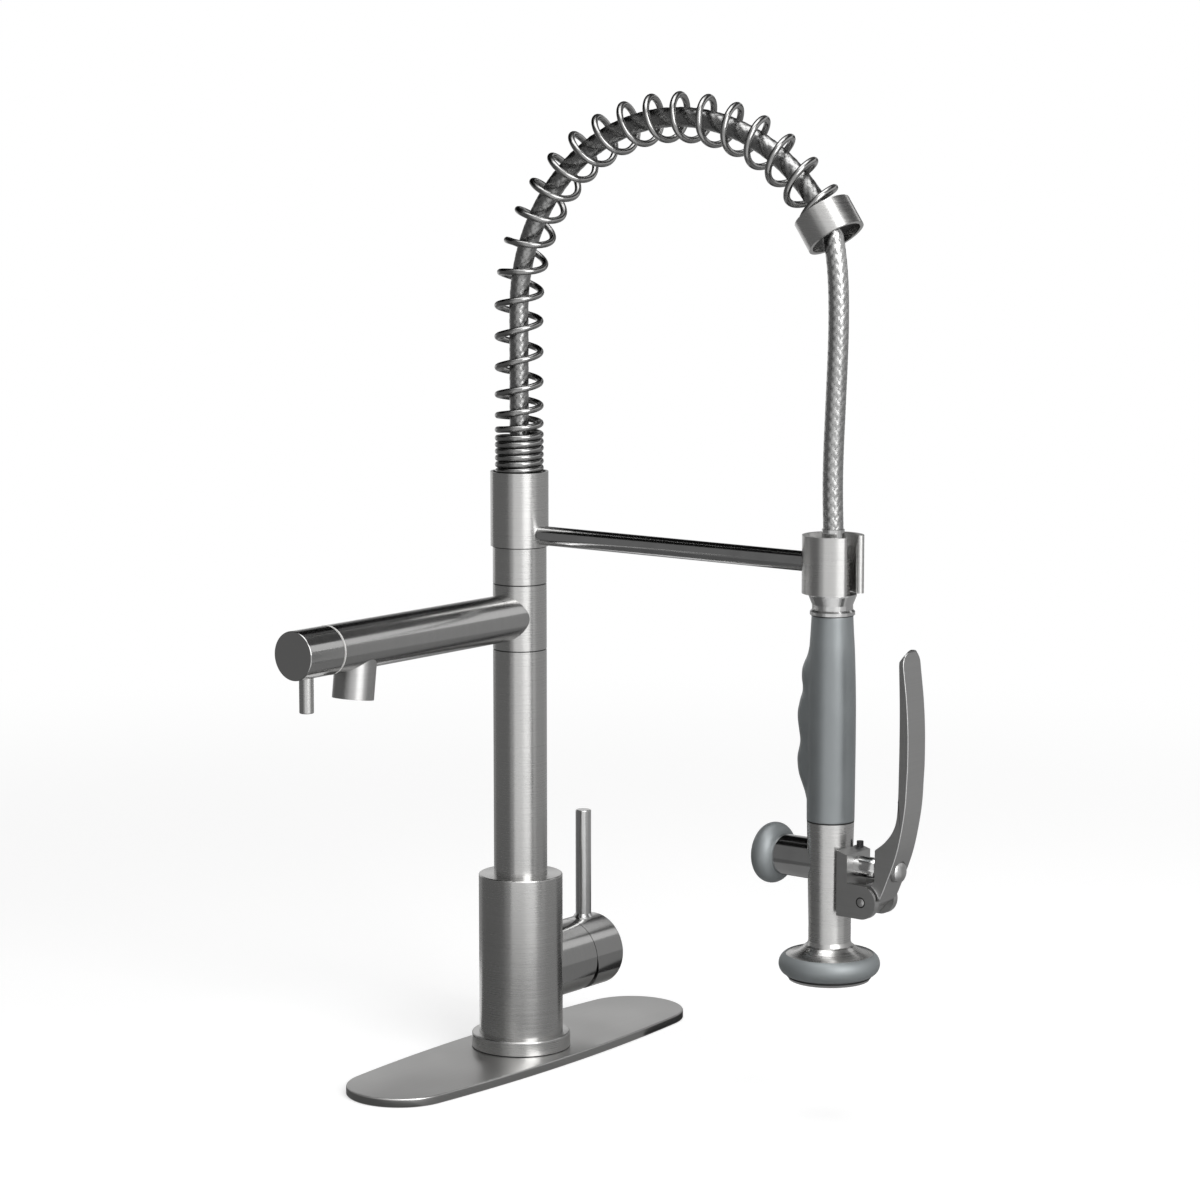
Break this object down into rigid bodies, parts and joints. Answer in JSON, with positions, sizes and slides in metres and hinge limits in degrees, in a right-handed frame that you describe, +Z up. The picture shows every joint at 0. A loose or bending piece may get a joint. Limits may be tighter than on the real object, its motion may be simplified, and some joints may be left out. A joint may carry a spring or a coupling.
{
  "type": "spring kitchen faucet",
  "caption": "Deck-mounted spring kitchen faucet with side mixer lever, swivelling pot filler spout, coil-spring arm and docked lever sprayer, brushed nickel",
  "frame": {"origin": "The column's axis at the underside of the deck plate, where the mounting shank enters", "axes": "+Z up along the column, -Y to the user and the docked sprayer, +X to the mixer handle; the spout rests along -X"},
  "size_m": [0.2991, 0.2822, 0.5083],
  "materials": {
    "nickel": "satin brushed nickel",
    "dark_nickel": "satin dark nickel",
    "chrome": "polished",
    "dark_chrome": "polished dark",
    "brass": "machined",
    "grey_rubber": "satin",
    "black_rubber": "matte",
    "black_plastic": "matte",
    "pale_plastic": "matte",
    "braid": "woven metal braid"
  },
  "bodies": {
    "base": {"deck_plate": "nickel", "deck_liner": "black_plastic", "base_seal": "black_rubber", "base_ring": "nickel", "valve_body": "nickel", "cartridge_housing": "pale_plastic", "cartridge_nut": "brass", "riser_tube": "nickel", "riser_stem": "brass", "swivel_washers": "black_plastic", "stem_rings": "black_rubber", "riser_spacer": "nickel", "stem_nut": "brass"},
    "mixer_rotor": {"cartridge_rotor": "black_plastic", "stem_pin": "chrome"},
    "mixer_handle": {"lever_stem": "brass", "handle_cap": "nickel", "handle_rod": "nickel", "cap_screw": "dark_chrome"},
    "spout": {"spout_tube": "nickel", "outlet_nozzle": "nickel", "aerator": "black_plastic", "spout_valve": "brass", "knob_washer": "chrome"},
    "spout_handle": {"spout_knob": "nickel", "knob_pin": "nickel", "spout_rotor": "chrome"},
    "arm": {"arm_collar": "nickel", "spring_anchor": "black_plastic", "support_spring": "chrome", "arch_hose": "braid", "arm_rod": "dark_chrome", "dock_ring": "dark_chrome", "spring_cap": "nickel", "cap_grommet": "black_rubber", "drop_hose": "braid"},
    "sprayer": {"hose_ferrule": "chrome", "hose_nut": "chrome", "neck_collar": "dark_chrome", "grip": "grey_rubber", "handle_tube": "black_plastic", "sprayer_body": "nickel", "spray_bumper": "grey_rubber", "spray_face": "black_plastic", "valve_cap": "dark_chrome", "side_bumper": "grey_rubber", "lever_bracket": "dark_nickel", "pivot_pin": "chrome", "bracket_stud": "black_rubber", "valve_spring": "chrome"},
    "trigger": {"trigger_lever": "nickel", "lever_screw": "chrome"},
    "spool": {"plunger": "chrome", "plunger_rings": "black_rubber"}
  },
  "joints": [
    {"name": "mixer_turn", "type": "hinge", "parent": "base", "child": "mixer_rotor", "pos_m": [0.036, 0, 0.0456], "axis": [1, 0, 0], "range_deg": [-40, 40]},
    {"name": "mixer_tilt", "type": "hinge", "parent": "mixer_rotor", "child": "mixer_handle", "pos_m": [0.036, 0, 0.0456], "axis": [0, 1, 0], "range_deg": [0, 15]},
    {"name": "spout_swivel", "type": "hinge", "parent": "base", "child": "spout", "pos_m": [0, 0, 0.236], "axis": [0, 0, 1], "continuous": true},
    {"name": "spout_valve_turn", "type": "hinge", "parent": "spout", "child": "spout_handle", "pos_m": [-0.16, 0, 0.23595], "axis": [-1, 0, 0], "range_deg": [0, 90]},
    {"name": "arm_swivel", "type": "hinge", "parent": "base", "child": "arm", "pos_m": [0, 0, 0.292], "axis": [0, 0, 1], "continuous": true},
    {"name": "sprayer_pull", "type": "slide", "parent": "arm", "child": "sprayer", "axis": [0, 0, -1], "range_m": [0, 0.035], "stiffness_N_per_m": 100, "springref_m": -0.09, "deforming": ["drop_hose"]},
    {"name": "trigger_squeeze", "type": "hinge", "parent": "sprayer", "child": "trigger", "pos_m": [0, -0.2232, 0.1154], "axis": [-1, 0, 0], "range_deg": [0, 15], "stiffness_Nm_per_rad": 1, "springref_deg": -5.73},
    {"name": "spool_slide", "type": "slide", "parent": "sprayer", "child": "spool", "axis": [0, 1, 0], "range_m": [0, 0.00411], "deforming": ["valve_spring"]}
  ],
  "couplings": [
    {"joint": "spool_slide", "follows": "trigger_squeeze", "m_per_rad": 0.0157}
  ]
}
